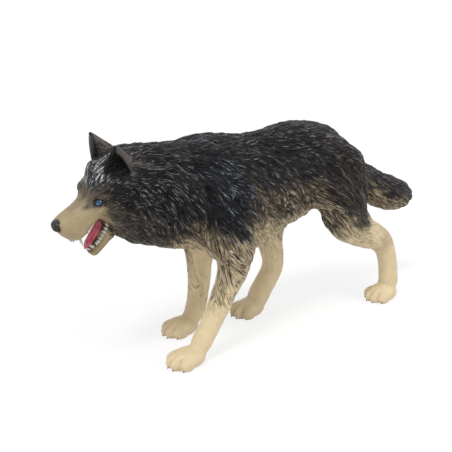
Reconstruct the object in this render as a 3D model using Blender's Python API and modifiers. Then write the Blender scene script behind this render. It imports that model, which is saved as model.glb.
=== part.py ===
"""A walking wolf, a moulded figurine about 120 mm long: one solid casting on four flat-soled paws.

Metres, +Z up. The wolf looks along -X, so its left side faces -Y. The origin is the middle of the
box around it, at the level of the soles. The tables below are in millimetres.
"""

import math
import random

import bmesh
import bpy
import numpy as np
from mathutils import Matrix, Vector, kdtree

MM = 0.001

# Trunk sections across X: x, height of the back, height of the widest point, height of the
# underside, half width
TRUNK = (
    (-34.0, 53.2, 45.0, 37.4, 6.4),
    (-29.0, 54.9, 44.0, 32.7, 9.0),
    (-23.0, 55.4, 43.0, 31.4, 11.2),
    (-16.0, 54.8, 42.0, 29.2, 12.0),
    (-9.0, 55.6, 41.0, 27.2, 12.4),
    (-2.0, 55.4, 40.0, 24.6, 12.2),
    (5.0, 54.0, 39.5, 24.0, 11.4),
    (12.0, 54.4, 40.0, 25.6, 10.4),
    (19.0, 55.4, 41.5, 28.6, 9.6),
    (26.0, 55.4, 43.0, 30.6, 9.6),
    (33.0, 53.6, 43.5, 32.0, 9.8),
    (38.5, 49.6, 42.5, 34.0, 8.8),
    (42.4, 45.0, 41.0, 36.5, 5.8),
)

# The head's own frame: its origin in the trunk, how far the muzzle points down, and how far the
# head leans over to its left
HEAD_AT = (-31.0, 0.0, 47.0)
HEAD_PITCH = 25.0
HEAD_ROLL = 6.0
# Head sections along the muzzle's axis: forward, top, widest, underside, half width
HEAD = (
    (-5.0, 8.0, 0.0, -9.0, 7.0),
    (-1.0, 8.4, -0.4, -8.6, 7.3),
    (2.5, 8.1, 0.0, -7.2, 6.8),
    (5.2, 6.9, 0.4, -5.0, 5.8),
    (7.6, 4.8, 0.4, -3.4, 4.7),
    (9.6, 3.2, 0.0, -3.1, 4.0),
    (12.6, 2.8, -1.0, -5.0, 3.6),
    (15.4, 2.8, -1.3, -5.6, 3.4),
    (17.4, 2.6, -0.5, -3.7, 3.0),
    (18.4, 2.0, 0.2, -1.6, 2.2),
)
BROW_AT = (5.9, 2.9, 3.8)
BROW_RADII = (2.2, 1.7, 1.5)
CHEEK_AT = (4.0, 4.9, -2.2)
CHEEK_RADII = (4.2, 2.5, 3.6)
EYE_AT = (8.0, 3.4, 2.5)
EYE_RADIUS = 1.15
NOSE_AT = (18.1, 0.0, 1.1)
NOSE_RADII = (1.2, 1.7, 1.4)
# Lower jaw: forward, up, half width, half depth
JAW = (
    (3.4, -5.2, 3.4, 2.6),
    (7.0, -7.5, 2.5, 1.9),
    (10.5, -9.5, 2.2, 1.6),
    (13.2, -10.8, 1.7, 1.2),
)
TONGUE = (
    (6.0, -5.0, 1.7, 0.8),
    (9.2, -6.8, 1.6, 0.65),
    (12.0, -8.4, 1.45, 0.6),
    (13.9, -9.4, 1.1, 0.5),
)
# Ear: its foot in the head's frame, its height, how far the left and the right one lean back, and
# how they spread and turn outwards
EAR_AT = (0.8, 5.9, 2.9)
EAR_HEIGHT = 10.3
EAR_WIDTH = 5.6
EAR_BACK = 5.9
EAR_FRONT = 1.1
EAR_WALL = 1.0
EAR_LEANS = {-1: -5.0, 1: 5.0}
EAR_SPREAD = 7.0
EAR_TURN = 30.0
EAR_ROOT_AT = (-1.6, 5.2, 2.2)
EAR_ROOT_RADII = (3.8, 2.5, 3.4)

# Limbs: x, y, z, half thickness fore and aft, half thickness across
FRONT_LEFT = (
    (-6.0, -5.5, 42.0, 8.0, 5.0),
    (-5.5, -8.0, 33.0, 8.0, 5.0),
    (-3.8, -8.8, 25.5, 4.6, 3.6),
    (-6.9, -8.6, 17.5, 3.4, 2.9),
    (-11.3, -8.3, 9.5, 2.9, 2.6),
    (-14.4, -8.0, 4.4, 2.8, 2.7),
)
FRONT_RIGHT = (
    (-6.0, 5.5, 42.0, 8.0, 5.0),
    (-4.0, 8.0, 33.0, 7.4, 4.8),
    (-2.0, 8.9, 24.5, 4.1, 3.5),
    (-2.0, 8.9, 15.5, 3.2, 2.9),
    (-2.8, 8.9, 8.5, 2.9, 2.7),
    (-4.4, 8.9, 4.4, 2.8, 2.7),
)
HIND_LEFT = (
    (34.0, -4.5, 45.0, 9.0, 5.0),
    (34.0, -7.4, 37.0, 9.0, 4.6),
    (35.5, -8.2, 29.5, 7.0, 4.2),
    (41.3, -8.4, 24.1, 4.6, 3.6),
    (49.6, -8.2, 19.7, 3.6, 3.1),
    (53.5, -7.8, 13.6, 3.0, 2.7),
    (55.3, -7.3, 5.0, 3.0, 3.0),
)
HIND_RIGHT = (
    (30.0, 4.5, 45.0, 9.0, 5.0),
    (27.0, 7.4, 37.0, 9.0, 4.6),
    (21.5, 8.2, 29.5, 7.0, 4.2),
    (22.3, 8.4, 21.0, 3.9, 3.5),
    (23.7, 8.4, 13.0, 3.2, 2.9),
    (19.0, 8.2, 6.5, 3.2, 3.1),
    (17.5, 8.0, 4.0, 3.1, 3.1),
)
TAIL = (
    (37.5, 0.0, 44.5, 3.6, 3.6),
    (44.2, 0.0, 39.8, 3.8, 3.7),
    (50.0, 0.0, 36.0, 4.4, 4.2),
    (56.0, 0.0, 32.2, 4.7, 4.5),
    (62.5, 0.0, 29.6, 4.7, 4.5),
    (67.8, 0.0, 28.1, 3.3, 3.2),
)

# Paws: middle of each sole, and the paw's own sizes
PAWS = {
    "front_left": (-18.0, -8.0),
    "front_right": (-8.0, 8.9),
    "hind_left": (53.2, -7.0),
    "hind_right": (14.6, 8.0),
}
PAW_PAD_RADII = (4.9, 3.8, 2.7)
PAW_PAD_HEIGHT = 2.4
TOE_RADII = (2.5, 1.2, 1.9)
TOE_HEIGHT = 2.0
TOE_SPREAD = 1.9
TOE_REACH = 3.5
OUTER_TOE_BACK = 1.6

# Carved coat: where the hair lies which way, and how deep it is cut. x, distance from the middle
# plane, z; then the way the hair runs, outwards for the middle number; then the depth
COMB = (
    ((-49.0, 0.0, 40.0), (0.9, 0.0, 0.4), 0.0),
    ((-45.0, 3.0, 38.0), (0.9, 0.1, 0.3), 0.0),
    ((-44.0, 0.0, 44.5), (0.8, 0.0, 0.5), 0.0),
    ((-40.5, 4.5, 45.5), (0.9, 0.3, 0.2), 0.0),
    ((-40.0, 2.0, 33.0), (0.8, 0.0, 0.5), 0.0),
    ((-40.5, 0.0, 49.5), (0.5, 0.0, 0.85), 0.3),
    ((-36.0, 0.0, 54.0), (1.0, 0.0, 0.3), 0.5),
    ((-35.0, 6.5, 56.0), (0.2, 0.2, 1.0), 0.0),
    ((-37.5, 6.5, 41.5), (0.9, 0.2, -0.4), 0.35),
    ((-33.0, 8.5, 40.0), (0.6, 0.2, -0.8), 0.9),
    ((-32.0, 0.0, 36.0), (0.6, 0.0, -0.8), 0.9),
    ((-27.0, 0.0, 56.0), (1.0, 0.0, 0.0), 0.9),
    ((-25.0, 9.0, 47.0), (0.75, 0.1, -0.6), 1.0),
    ((-24.0, 6.0, 34.0), (0.6, 0.0, -0.8), 1.0),
    ((-14.0, 3.0, 29.0), (0.8, 0.0, -0.6), 1.0),
    ((-10.0, 4.0, 55.0), (1.0, 0.0, -0.1), 0.8),
    ((-8.0, 11.0, 45.0), (0.8, 0.0, -0.6), 1.0),
    ((-6.0, 11.0, 33.0), (0.4, 0.0, -0.9), 1.0),
    ((-4.0, 11.0, 25.0), (0.5, 0.0, -0.9), 0.7),
    ((8.0, 5.0, 54.0), (1.0, 0.0, -0.15), 0.8),
    ((8.0, 10.0, 42.0), (0.8, 0.0, -0.55), 0.9),
    ((8.0, 7.0, 29.0), (0.8, -0.1, -0.6), 0.9),
    ((14.0, 1.0, 26.0), (0.95, 0.0, -0.2), 0.5),
    ((22.0, 4.0, 55.0), (1.0, 0.0, 0.0), 0.7),
    ((22.0, 8.0, 42.0), (0.8, 0.0, -0.55), 0.9),
    ((22.0, 5.0, 31.0), (0.8, 0.0, -0.5), 0.9),
    ((34.0, 6.0, 51.0), (0.95, 0.1, -0.35), 0.7),
    ((33.0, 11.0, 38.0), (0.7, 0.0, -0.7), 0.8),
    ((42.0, 7.0, 34.0), (0.4, 0.0, -0.9), 0.8),
    ((37.0, 10.0, 26.0), (0.9, 0.0, -0.4), 0.5),
    ((43.0, 1.0, 48.0), (0.65, 0.0, -0.75), 0.8),
    ((49.0, 3.0, 40.0), (0.75, 0.0, -0.65), 0.9),
    ((58.0, 3.0, 33.0), (0.87, 0.0, -0.45), 1.0),
    ((69.0, 2.0, 28.0), (0.9, 0.0, -0.35), 1.0),
    ((-8.0, 9.0, 17.0), (0.0, 0.0, -1.0), 0.15),
    ((-11.0, 9.0, 5.0), (-0.5, 0.0, -0.9), 0.0),
    ((22.0, 9.0, 14.0), (0.0, 0.0, -1.0), 0.1),
    ((16.0, 8.0, 4.0), (-0.5, 0.0, -0.9), 0.0),
    ((53.0, 8.0, 16.0), (0.0, 0.0, -1.0), 0.0),
    ((52.0, 7.0, 4.0), (-0.5, 0.0, -0.9), 0.0),
)
COMB_SHARPNESS = 4
LOCK_LENGTH = 8.5
LOCK_WIDTH = 3.2
LOCK_HEIGHT = 1.2
LOCK_SPACING = 2.7
LOCK_SPREAD = 14.0
LOCK_NEIGHBOURS = 12
SEED = 7

# How finely the shape is worked out, before and after it is thinned to its faces
RING_SIDES = 28
RINGS_PER_SPAN = 5
FORM_VOXEL = 0.75
FORM_SMOOTHING = 8
DETAIL_VOXEL = 0.55
DETAIL_SMOOTHING = 2
TRIANGLES = 11700
SOLE_LEVEL = 0.45


def clear_scene():
    for old in list(bpy.data.objects):
        bpy.data.objects.remove(old)


def between(stations, steps=RINGS_PER_SPAN):
    """The stations with a smooth curve's own points added between them."""
    rows = np.array(stations, float)
    padded = np.vstack([2 * rows[0] - rows[1], rows, 2 * rows[-1] - rows[-2]])
    found = []
    for a, b, c, d in zip(padded, padded[1:], padded[2:], padded[3:]):
        for t in np.arange(steps) / steps:
            found.append(
                b
                + (c - a) * t / 2
                + (2 * a - 5 * b + 4 * c - d) * t**2 / 2
                + (3 * b - a - 3 * c + d) * t**3 / 2
            )
    found.append(rows[-1])
    return found


def add_loft(bm, rings):
    """A closed skin over rings, each a centre, a sideways vector, an upward and a downward one."""
    before = None
    ends = []
    for centre, side, up, down in rings:
        circle = bmesh.ops.create_circle(bm, segments=RING_SIDES, radius=1.0)["verts"]
        for vert in circle:
            across, rise = vert.co.x, vert.co.y
            vert.co = centre + side * across + (up * rise if rise > 0 else down * -rise)
        edges = list({edge for vert in circle for edge in vert.link_edges})
        if before:
            bmesh.ops.bridge_loops(bm, edges=before + edges)
        else:
            ends.append(circle)
        before = edges
    ends.append(circle)
    for circle in ends:
        bmesh.ops.contextual_create(bm, geom=circle)


def rounded(rings, bulge=0.6):
    """The rings with two smaller ones past each end, so that the ends are domes."""
    made = list(rings)
    for end, step in ((0, 1), (-1, -1)):
        centre, side, up, down = rings[end]
        inner = rings[end + step][0]
        out = (centre - inner).normalized() * min(side.length, up.length) * bulge
        for lift, share in ((0.6, 0.8), (0.95, 0.35)):
            ring = (centre + out * lift, side * share, up * share, down * share)
            made.insert(0, ring) if end == 0 else made.append(ring)
    return made


def add_trunk(bm):
    rings = []
    for x, top, widest, under, half_width in between(TRUNK):
        rings.append(
            (
                Vector((x, 0, widest)),
                Vector((0, half_width, 0)),
                Vector((0, 0, top - widest)),
                Vector((0, 0, under - widest)),
            )
        )
    add_loft(bm, rounded(rings))


def limb_rings(stations):
    """Rings square to the path through the stations, each as wide as its station says."""
    rows = between(stations)
    places = [Vector(row[:3]) for row in rows]
    rings = []
    for i, (place, row) in enumerate(zip(places, rows)):
        along = places[min(i + 1, len(rows) - 1)] - places[max(i - 1, 0)]
        fore = along.cross(Vector((0, 1, 0))).normalized()
        side = fore.cross(along).normalized()
        rings.append((place, side * row[4], fore * row[3], fore * -row[3]))
    return rounded(rings)


def head_frame():
    """From the head's own forward, sideways and up to the wolf's."""
    pitch = math.radians(HEAD_PITCH)
    forward = Vector((-math.cos(pitch), 0, -math.sin(pitch)))
    up = Vector((-math.sin(pitch), 0, math.cos(pitch)))
    turn = Matrix((forward, Vector((0, 1, 0)), up)).transposed()
    roll = Matrix.Rotation(math.radians(HEAD_ROLL), 4, "X")
    return Matrix.Translation(HEAD_AT) @ turn.to_4x4() @ roll


def add_head(bm):
    frame = head_frame()
    turn = frame.to_3x3()
    rings = []
    for forward, top, widest, under, half_width in between(HEAD):
        rings.append(
            (
                frame @ Vector((forward, 0, widest)),
                turn @ Vector((0, half_width, 0)),
                turn @ Vector((0, 0, top - widest)),
                turn @ Vector((0, 0, under - widest)),
            )
        )
    add_loft(bm, rounded(rings, bulge=0.3))


def add_jaw_piece(bm, stations):
    frame = head_frame()
    turn = frame.to_3x3()
    rows = between(stations)
    rings = []
    for i, (forward, up, half_width, half_depth) in enumerate(rows):
        ahead, behind = rows[min(i + 1, len(rows) - 1)], rows[max(i - 1, 0)]
        along = Vector((ahead[0] - behind[0], 0, ahead[1] - behind[1])).normalized()
        rise = turn @ Vector((-along.z, 0, along.x)) * half_depth
        rings.append(
            (
                frame @ Vector((forward, 0, up)),
                turn @ Vector((0, half_width, 0)),
                rise,
                -rise,
            )
        )
    add_loft(bm, rounded(rings))


def add_ball(bm, centre, radii, turn=None):
    """An egg: a ball scaled to three half sizes."""
    place = Matrix.Translation(centre) @ (turn or Matrix.Identity(4))
    scale = Matrix.Diagonal((*radii, 1.0))
    bmesh.ops.create_uvsphere(bm, u_segments=24, v_segments=14, radius=1.0, matrix=place @ scale)


def add_face(bm):
    """Brows, cheeks, ear roots and eyeballs, in pairs across the head, and the nose."""
    frame = head_frame()
    turn = frame.to_3x3().to_4x4()
    for side in (-1, 1):
        for place, radii in (
            (BROW_AT, BROW_RADII),
            (CHEEK_AT, CHEEK_RADII),
            (EAR_ROOT_AT, EAR_ROOT_RADII),
            (EYE_AT, (EYE_RADIUS,) * 3),
        ):
            forward, out, up = place
            add_ball(bm, frame @ Vector((forward, side * out, up)), radii, turn)
    add_ball(bm, frame @ Vector(NOSE_AT), NOSE_RADII, turn)


def add_ear(bm, side):
    """A pointed cup, open to the front: crescent sections that shrink to the tip. Its foot draws in
    under it, into the head."""
    steps = 9
    frame = (
        head_frame()
        @ Matrix.Translation((EAR_AT[0], side * EAR_AT[1], EAR_AT[2]))
        @ Matrix.Rotation(math.radians(EAR_TURN) * side, 4, "Z")
        @ Matrix.Rotation(math.radians(-EAR_SPREAD) * side, 4, "X")
        @ Matrix.Rotation(math.radians(-EAR_LEANS[side]), 4, "Y")
    )
    before = None
    sides = 20
    for step in range(-2, steps + 1):
        rise = step / steps
        under = max(-step, 0) / 2
        share = 1 - 0.7 * under
        width = (EAR_WIDTH / 2 * (1 - max(rise, 0.0) ** 1.5) + 0.12) * share
        behind = (EAR_BACK * (1 - max(rise, 0.0)) + 0.25) * share
        ahead = (EAR_FRONT * (1 - rise) + 0.2) * share
        hollow = max(behind + ahead - EAR_WALL, 0.0) * 0.75 if rise > 0.12 else 0.0
        circle = bmesh.ops.create_circle(bm, segments=sides, radius=1.0)["verts"]
        for vert in circle:
            across, front = vert.co.x, vert.co.y
            dent = hollow * max(front, 0.0) * (1 - across**2)
            deep = front * (ahead if front > 0 else behind) - dent + 1.6 * under
            inward = across * width - side * 2.6 * under
            vert.co = frame @ Vector((deep, inward, rise * EAR_HEIGHT))
        edges = list({edge for vert in circle for edge in vert.link_edges})
        if before:
            bmesh.ops.bridge_loops(bm, edges=before + edges)
        else:
            bmesh.ops.contextual_create(bm, geom=circle)
        before = edges
    bmesh.ops.contextual_create(bm, geom=circle)


def add_paw(bm, place):
    """A pad and four toes, the two middle ones ahead of the outer two."""
    x, y = place
    add_ball(bm, Vector((x, y, PAW_PAD_HEIGHT)), PAW_PAD_RADII)
    for number in (-1.5, -0.5, 0.5, 1.5):
        outer = abs(number) > 1
        reach = TOE_REACH - (OUTER_TOE_BACK if outer else 0)
        toe = Vector((x - reach, y + number * TOE_SPREAD, TOE_HEIGHT))
        splay = Matrix.Rotation(math.radians(-8 * number), 4, "Z")
        add_ball(bm, toe, TOE_RADII, splay)


def object_of(bm, name):
    """An object from the shapes in bm, which are in millimetres."""
    bmesh.ops.recalc_face_normals(bm, faces=bm.faces)
    bmesh.ops.scale(bm, vec=(MM, MM, MM), verts=bm.verts)
    mesh = bpy.data.meshes.new(name)
    bm.to_mesh(mesh)
    bm.free()
    made = bpy.data.objects.new(name, mesh)
    bpy.context.scene.collection.objects.link(made)
    return made


def applied(obj):
    """The object's mesh with its modifiers applied. The object is removed."""
    graph = bpy.context.evaluated_depsgraph_get()
    mesh = bpy.data.meshes.new_from_object(obj.evaluated_get(graph))
    bpy.data.objects.remove(obj)
    return mesh


def fused(obj, voxel, smoothing):
    """One skin around all of the object's closed shapes, with its inner corners softened."""
    remesh = obj.modifiers.new("fuse", "REMESH")
    remesh.mode = "VOXEL"
    remesh.voxel_size = voxel * MM
    smooth = obj.modifiers.new("soften", "SMOOTH")
    smooth.factor = 0.5
    smooth.iterations = smoothing
    return applied(obj)


def main_form():
    """Trunk, limbs and tail, run into each other."""
    bm = bmesh.new()
    add_trunk(bm)
    for stations in (FRONT_LEFT, FRONT_RIGHT, HIND_LEFT, HIND_RIGHT, TAIL):
        add_loft(bm, limb_rings(stations))
    add_head(bm)
    return fused(object_of(bm, "form"), FORM_VOXEL, FORM_SMOOTHING)


def detailed_form():
    bm = bmesh.new()
    add_face(bm)
    add_jaw_piece(bm, JAW)
    add_jaw_piece(bm, TONGUE)
    for side in (-1, 1):
        add_ear(bm, side)
    for place in PAWS.values():
        add_paw(bm, place)
    bmesh.ops.recalc_face_normals(bm, faces=bm.faces)
    bmesh.ops.scale(bm, vec=(MM, MM, MM), verts=bm.verts)
    bm.from_mesh(main_form())
    bmesh.ops.scale(bm, vec=(1 / MM,) * 3, verts=bm.verts)
    return fused(object_of(bm, "detailed"), DETAIL_VOXEL, DETAIL_SMOOTHING)


def combed(points, normals):
    """At each point, the way the hair runs along the skin and how deep it is carved."""
    mirrored = points * (1, 1, 1)
    mirrored[:, 1] = abs(mirrored[:, 1])
    places = np.array([place for place, _, _ in COMB])
    ways = np.array([way for _, way, _ in COMB])
    depths = np.array([depth for _, _, depth in COMB])
    apart = np.linalg.norm(mirrored[:, None] - places[None], axis=2)
    weights = (apart + 0.5) ** -COMB_SHARPNESS
    weights /= weights.sum(1, keepdims=True)
    run = weights @ ways
    run[:, 1] *= np.sign(points[:, 1])
    run -= normals * (run * normals).sum(1, keepdims=True)
    run /= np.linalg.norm(run, axis=1, keepdims=True) + 1e-9
    return run, weights @ depths


def lock_relief(points, normals, run):
    """How high overlapping pointed locks stand at each point, from 0 to 1."""
    dice = random.Random(SEED)
    order = list(range(len(points)))
    dice.shuffle(order)
    taken = {}
    for i in order:
        taken.setdefault(tuple(np.floor(points[i] / LOCK_SPACING).astype(int)), i)
    roots = np.array(list(taken.values()))
    tree = kdtree.KDTree(len(roots))
    for number, i in enumerate(roots):
        tree.insert(points[i] + run[i] * LOCK_LENGTH * 0.5, number)
    tree.balance()
    near = np.array([[n for _, n, _ in tree.find_n(p, LOCK_NEIGHBOURS)] for p in points])
    swing = np.radians([dice.uniform(-LOCK_SPREAD, LOCK_SPREAD) for _ in roots])
    size = np.array([dice.uniform(0.75, 1.2) for _ in roots])
    across = np.cross(normals[roots], run[roots])
    ways = run[roots] * np.cos(swing)[:, None] + across * np.sin(swing)[:, None]
    across = np.cross(normals[roots], ways)
    offset = points[:, None] - points[roots][near]
    length = LOCK_LENGTH * size[near]
    along = (offset * ways[near]).sum(2) / length
    aside = (offset * across[near]).sum(2) / (LOCK_WIDTH / 2 * size[near])
    inside = (along > 0) & (along < 1)
    along = np.clip(along, 0, 1)
    taper = np.sqrt(np.clip(1 - along**2, 0.0, 1)) + 1e-6
    dome = np.sqrt(np.clip(1 - (aside / taper) ** 2, 0, 1))
    return (np.where(inside, along**0.8 * dome, 0) * size[near]).max(1)


def carve_coat(mesh):
    """Raises the locks of hair out of the smooth skin."""
    count = len(mesh.vertices)
    points = np.empty(count * 3)
    mesh.vertices.foreach_get("co", points)
    points = points.reshape(-1, 3) / MM
    normals = np.empty(count * 3)
    mesh.vertices.foreach_get("normal", normals)
    normals = normals.reshape(-1, 3)
    run, depth = combed(points, normals)
    lift = (lock_relief(points, normals, run) - 0.4) * depth * LOCK_HEIGHT
    points += normals * lift[:, None]
    mesh.vertices.foreach_set("co", (points * MM).ravel())
    mesh.update()


def thinned(mesh):
    """The same shape in about as many triangles as named above."""
    obj = bpy.data.objects.new("thinned", mesh)
    bpy.context.scene.collection.objects.link(obj)
    faces = sum(len(polygon.vertices) - 2 for polygon in mesh.polygons)
    collapse = obj.modifiers.new("thin", "DECIMATE")
    collapse.ratio = min(1.0, TRIANGLES / faces)
    collapse.use_collapse_triangulate = True
    return applied(obj)


def flat_soles(mesh):
    """Cuts the paws off level, so that all four soles rest on one plane."""
    bm = bmesh.new()
    bm.from_mesh(mesh)
    bmesh.ops.bisect_plane(
        bm,
        geom=[*bm.verts, *bm.edges, *bm.faces],
        dist=1e-7,
        plane_co=(0, 0, SOLE_LEVEL * MM),
        plane_no=(0, 0, -1),
        clear_outer=True,
    )
    cut = [edge for edge in bm.edges if edge.is_boundary]
    bmesh.ops.holes_fill(bm, edges=cut)
    bmesh.ops.triangulate(bm, faces=[face for face in bm.faces if len(face.verts) > 3])
    bm.to_mesh(mesh)
    bm.free()


def rest_on_origin(mesh):
    """Puts the middle of the box around the wolf, at its soles, on the origin."""
    corners = np.array([vert.co for vert in mesh.vertices])
    low, high = corners.min(0), corners.max(0)
    mesh.transform(Matrix.Translation((-(low[0] + high[0]) / 2, -(low[1] + high[1]) / 2, -low[2])))


def coat_material():
    material = bpy.data.materials.new("painted_pvc")
    material.use_nodes = True
    shader = material.node_tree.nodes["Principled BSDF"]
    shader.inputs["Base Color"].default_value = (0.10, 0.095, 0.09, 1)
    shader.inputs["Roughness"].default_value = 0.5
    shader.inputs["Metallic"].default_value = 0.0
    return material


def build_wolf():
    mesh = detailed_form()
    carve_coat(mesh)
    mesh = thinned(mesh)
    flat_soles(mesh)
    rest_on_origin(mesh)
    mesh.name = "wolf"
    mesh.materials.clear()
    mesh.materials.append(coat_material())
    wolf = bpy.data.objects.new("wolf", mesh)
    group = bpy.data.collections.new("wolf_figurine")
    bpy.context.scene.collection.children.link(group)
    group.objects.link(wolf)
    mesh.shade_smooth()


clear_scene()
build_wolf()
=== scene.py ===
"""A walking wolf figurine, moulded in one piece and painted by hand: its carved coat, its face, its
claws and its paint. The tables are in millimetres, in the frame the moulding was drawn in."""

import itertools
import math
import random

import bmesh
import bpy
import numpy as np
from mathutils import Matrix, Vector, kdtree
from mathutils.bvhtree import BVHTree

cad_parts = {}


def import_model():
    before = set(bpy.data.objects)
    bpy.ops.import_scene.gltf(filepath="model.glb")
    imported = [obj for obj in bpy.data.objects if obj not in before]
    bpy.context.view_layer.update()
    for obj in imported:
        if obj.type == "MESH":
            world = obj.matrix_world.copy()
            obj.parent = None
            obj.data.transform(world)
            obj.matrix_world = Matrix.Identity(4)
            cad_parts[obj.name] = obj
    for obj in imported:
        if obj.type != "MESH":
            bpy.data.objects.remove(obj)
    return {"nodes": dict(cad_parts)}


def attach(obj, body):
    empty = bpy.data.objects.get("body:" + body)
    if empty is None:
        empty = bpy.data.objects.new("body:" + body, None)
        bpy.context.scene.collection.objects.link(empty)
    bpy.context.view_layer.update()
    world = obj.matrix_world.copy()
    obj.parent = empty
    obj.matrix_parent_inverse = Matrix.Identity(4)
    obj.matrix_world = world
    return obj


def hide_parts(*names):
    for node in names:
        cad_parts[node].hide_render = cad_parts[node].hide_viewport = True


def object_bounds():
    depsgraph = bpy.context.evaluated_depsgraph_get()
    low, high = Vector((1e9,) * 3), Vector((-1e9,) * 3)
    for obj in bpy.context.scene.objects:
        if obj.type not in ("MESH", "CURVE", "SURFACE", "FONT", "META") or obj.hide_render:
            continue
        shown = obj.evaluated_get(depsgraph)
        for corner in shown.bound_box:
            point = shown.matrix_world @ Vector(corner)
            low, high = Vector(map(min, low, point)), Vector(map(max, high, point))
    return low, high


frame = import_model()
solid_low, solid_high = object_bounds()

MM = 0.001

# Where the drawing's origin stands, and the head's own frame in the drawing
DRAWN_AT = Vector((-10.32, 0.0, -0.45))
HEAD_AT = (-31.0, 0.0, 47.0)
HEAD_PITCH = 25.0
HEAD_ROLL = 6.0

# Paints: the wash and painted shade in the grooves, the main coat, the dry brush and painted
# highlights on the ridges, and how much of the ridges the brush and highlights have caught
PAINTS = {
    "back": ((3, 3, 5), (19, 19, 23), (134, 134, 142), 0.44),
    "shoulder": ((3, 3, 5), (15, 18, 25), (128, 136, 150), 0.46),
    "ruff": ((3, 3, 4), (15, 15, 18), (136, 136, 142), 0.46),
    "ruff_low": ((12, 10, 9), (50, 44, 40), (140, 128, 112), 0.46),
    "chest": ((30, 25, 19), (98, 87, 68), (178, 162, 134), 0.5),
    "flank": ((4, 4, 5), (25, 24, 25), (130, 124, 118), 0.42),
    "flank_low": ((12, 10, 9), (80, 71, 58), (194, 178, 148), 0.52),
    "belly": ((104, 88, 64), (192, 174, 140), (218, 204, 172), 0.5),
    "rump": ((7, 6, 6), (36, 32, 31), (138, 130, 122), 0.46),
    "thigh": ((9, 7, 6), (38, 33, 29), (130, 116, 100), 0.44),
    # groove: near-black painted shade in the dip behind the ruff
    "groove": ((2, 2, 3), (8, 8, 10), (70, 70, 76), 0.3),
    "arm": ((34, 30, 26), (168, 151, 122), (214, 200, 172), 0.5),
    "leg": ((116, 96, 68), (212, 194, 158), (226, 212, 182), 0.3),
    "hock": ((96, 82, 62), (184, 166, 132), (206, 190, 160), 0.3),
    "tail": ((7, 5, 8), (32, 27, 30), (126, 118, 120), 0.44),
    "tail_under": ((44, 36, 26), (146, 130, 101), (196, 180, 150), 0.5),
    "tail_tip": ((46, 42, 44), (104, 100, 98), (170, 166, 162), 0.6),
    "forehead": ((8, 8, 10), (58, 58, 64), (210, 210, 216), 0.72),
    "bridge": ((70, 60, 45), (140, 125, 99), (190, 178, 150), 0.5),
    "stop": ((32, 28, 23), (94, 84, 71), (168, 158, 142), 0.5),
    "brow": ((24, 21, 19), (76, 68, 62), (140, 130, 120), 0.4),
    "muzzle": ((92, 78, 54), (158, 142, 110), (184, 169, 138), 0.35),
    "cheek": ((20, 17, 15), (64, 56, 49), (134, 122, 104), 0.38),
    "temple": ((3, 3, 4), (15, 14, 14), (96, 92, 88), 0.42),
    "throat": ((14, 12, 10), (54, 48, 41), (142, 130, 110), 0.44),
    "ear": ((34, 31, 29), (82, 76, 72), (134, 126, 118), 0.35),
    "ear_inside": ((3, 3, 4), (16, 15, 15), (76, 72, 70), 0.32),
    "eye_rim": ((5, 5, 6), (14, 13, 14), (36, 34, 36), 0.2),
    # mouth: brown lining of the mouth, darker as painted shade between the tongue and the teeth
    "mouth": ((40, 26, 20), (82, 56, 40), (120, 84, 64), 0.3),
    "palate": ((50, 22, 24), (104, 50, 50), (150, 84, 80), 0.3),
    "lip": ((84, 70, 50), (150, 135, 102), (182, 167, 136), 0.3),
}

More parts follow.
